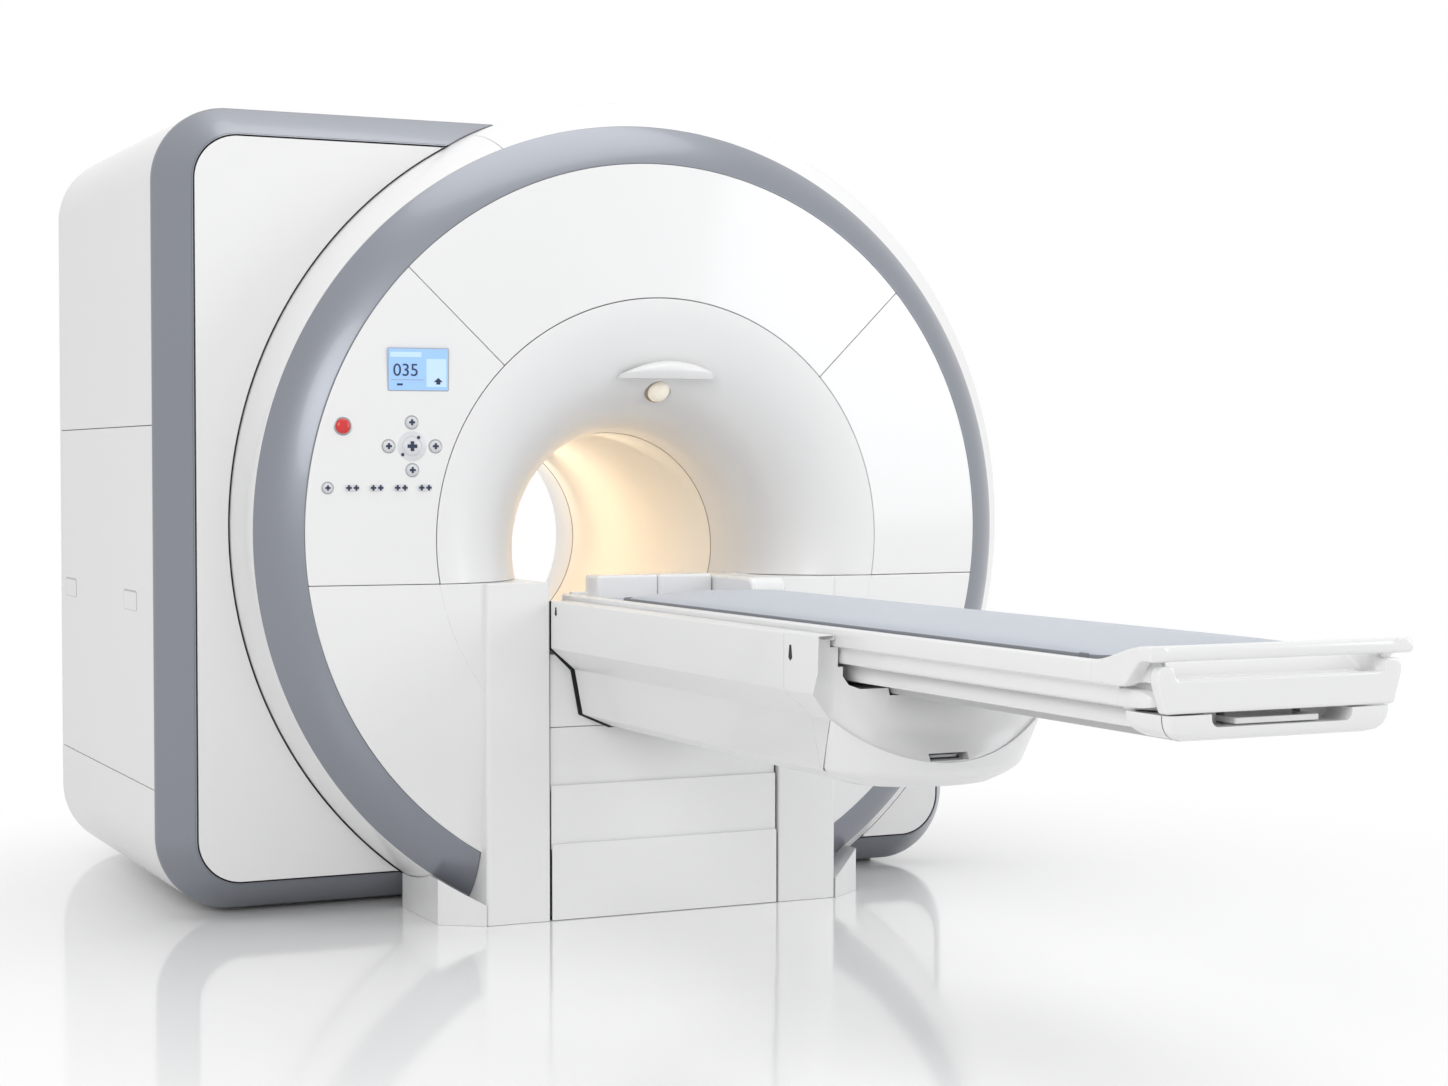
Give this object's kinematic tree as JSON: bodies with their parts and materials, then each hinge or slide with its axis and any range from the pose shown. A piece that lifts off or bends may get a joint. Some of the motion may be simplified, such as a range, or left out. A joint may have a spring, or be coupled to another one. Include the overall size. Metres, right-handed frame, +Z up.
{
  "type": "mri scanner",
  "caption": "Cylindrical-bore magnetic resonance scanner with bevelled round front, housing, control keys and a cantilevered patient table that lifts and slides into the bore.",
  "frame": {"origin": "on the floor under the bore axis, in the plane of the circular seam round the bore's cover", "axes": "+X to the right seen from the foot of the table, +Y into the bore, +Z up"},
  "size_m": [2.414, 4.202, 2.0798],
  "materials": {
    "white_shell": "gloss paint on moulded covers",
    "slate_trim": "satin",
    "bore_liner": "satin",
    "lens": "gloss",
    "vessel_steel": "satin paint",
    "coil_resin": "cast resin",
    "bright_steel": "ground",
    "dark_rubber": "matt",
    "drive_metal": "cast",
    "frame_metal": "milled",
    "dark_plastic": "satin",
    "tray_shell": "gloss",
    "mattress_cover": "coated cloth, satin",
    "screen": "glass-smooth",
    "stop_red": "gloss",
    "key_face": "satin"
  },
  "bodies": {
    "scanner": {"bore_funnel": "white_shell", "rear_funnel": "white_shell", "bore_tunnel": "bore_liner", "brow": "white_shell", "brow_lens": "lens", "cryostat_vessel": "vessel_steel", "gradient_coil": "coil_resin", "body_coil": "coil_resin", "cold_head": "bright_steel", "face_top": "white_shell", "face_right": "white_shell", "face_left": "white_shell", "pedestal_left": "white_shell", "pedestal_right": "white_shell", "front_ring": "slate_trim", "flank_left": "white_shell", "flank_upper_right": "white_shell", "upper_cover": "white_shell", "left_cover": "white_shell", "right_cover": "white_shell", "left_lower_cover": "white_shell", "right_lower_cover": "white_shell", "rear_cover": "white_shell", "edge_band": "slate_trim", "front_panel_left": "white_shell", "front_panel_right": "white_shell", "plinths": "white_shell", "levelling_feet": "dark_rubber", "lift_base": "bright_steel", "kick_panel_lower": "white_shell", "display_screen": "screen"},
    "table_lift": {"apron_lower": "white_shell", "apron_upper": "white_shell", "beam_cover_left": "white_shell", "beam_cover_right": "white_shell", "beam_end_cover": "white_shell", "belly_pan": "white_shell", "slide_drive": "drive_metal", "carriage_frame": "frame_metal", "lift_carriage": "frame_metal"},
    "tabletop": {"tray": "tray_shell", "mattress": "mattress_cover", "head_block": "white_shell", "coil_socket": "white_shell", "foot_handle": "white_shell", "foot_box": "white_shell"},
    "middle_panel": {"kick_panel_middle": "white_shell"},
    "latch_lever": {"belly_latch": "dark_plastic"},
    "release": {"release_bar": "white_shell"},
    "stop": {"stop_button": "stop_red"},
    "key_up_cap": {"key_up": "key_face"},
    "key_down_cap": {"key_down": "key_face"},
    "key_left_cap": {"key_left": "key_face"},
    "key_right_cap": {"key_right": "key_face"},
    "key_hub_cap": {"key_hub": "key_face"},
    "row_key_1_cap": {"row_key_1": "key_face"},
    "row_key_2_cap": {"row_key_2": "key_face"},
    "row_key_3_cap": {"row_key_3": "key_face"},
    "row_key_4_cap": {"row_key_4": "key_face"},
    "row_key_5_cap": {"row_key_5": "key_face"}
  },
  "joints": [
    {"name": "table_lift_travel", "type": "slide", "parent": "scanner", "child": "table_lift", "axis": [0, 0, 1], "range_m": [-0.3, 0]},
    {"name": "tabletop_travel", "type": "slide", "parent": "table_lift", "child": "tabletop", "axis": [0, 1, 0], "range_m": [0, 1.65]},
    {"name": "middle_panel_travel", "type": "slide", "parent": "scanner", "child": "middle_panel", "axis": [0, 0, 1], "range_m": [-0.15, 0]},
    {"name": "latch_lever_hinge", "type": "hinge", "parent": "table_lift", "child": "latch_lever", "pos_m": [0, -1.35, 0.534], "axis": [1, 0, 0], "range_deg": [0, 12], "stiffness_Nm_per_rad": 0.5},
    {"name": "release_bar_travel", "type": "slide", "parent": "tabletop", "child": "release", "axis": [0, 0, 1], "range_m": [0, 0.006], "stiffness_N_per_m": 1500},
    {"name": "stop_button_press", "type": "slide", "parent": "scanner", "child": "stop", "axis": [0, 1, 0], "range_m": [0, 0.003], "stiffness_N_per_m": 1500},
    {"name": "key_up_press", "type": "slide", "parent": "scanner", "child": "key_up_cap", "axis": [0, 1, 0], "range_m": [0, 0.002], "stiffness_N_per_m": 1200},
    {"name": "key_down_press", "type": "slide", "parent": "scanner", "child": "key_down_cap", "axis": [0, 1, 0], "range_m": [0, 0.002], "stiffness_N_per_m": 1200},
    {"name": "key_left_press", "type": "slide", "parent": "scanner", "child": "key_left_cap", "axis": [0, 1, 0], "range_m": [0, 0.002], "stiffness_N_per_m": 1200},
    {"name": "key_right_press", "type": "slide", "parent": "scanner", "child": "key_right_cap", "axis": [0, 1, 0], "range_m": [0, 0.002], "stiffness_N_per_m": 1200},
    {"name": "key_hub_press", "type": "slide", "parent": "scanner", "child": "key_hub_cap", "axis": [0, 1, 0], "range_m": [0, 0.002], "stiffness_N_per_m": 1200},
    {"name": "row_key_1_press", "type": "slide", "parent": "scanner", "child": "row_key_1_cap", "axis": [0, 1, 0], "range_m": [0, 0.002], "stiffness_N_per_m": 1200},
    {"name": "row_key_2_press", "type": "slide", "parent": "scanner", "child": "row_key_2_cap", "axis": [0, 1, 0], "range_m": [0, 0.002], "stiffness_N_per_m": 1200},
    {"name": "row_key_3_press", "type": "slide", "parent": "scanner", "child": "row_key_3_cap", "axis": [0, 1, 0], "range_m": [0, 0.002], "stiffness_N_per_m": 1200},
    {"name": "row_key_4_press", "type": "slide", "parent": "scanner", "child": "row_key_4_cap", "axis": [0, 1, 0], "range_m": [0, 0.002], "stiffness_N_per_m": 1200},
    {"name": "row_key_5_press", "type": "slide", "parent": "scanner", "child": "row_key_5_cap", "axis": [0, 1, 0], "range_m": [0, 0.002], "stiffness_N_per_m": 1200}
  ],
  "couplings": [
    {"joint": "middle_panel_travel", "follows": "table_lift_travel", "ratio": 0.5}
  ]
}
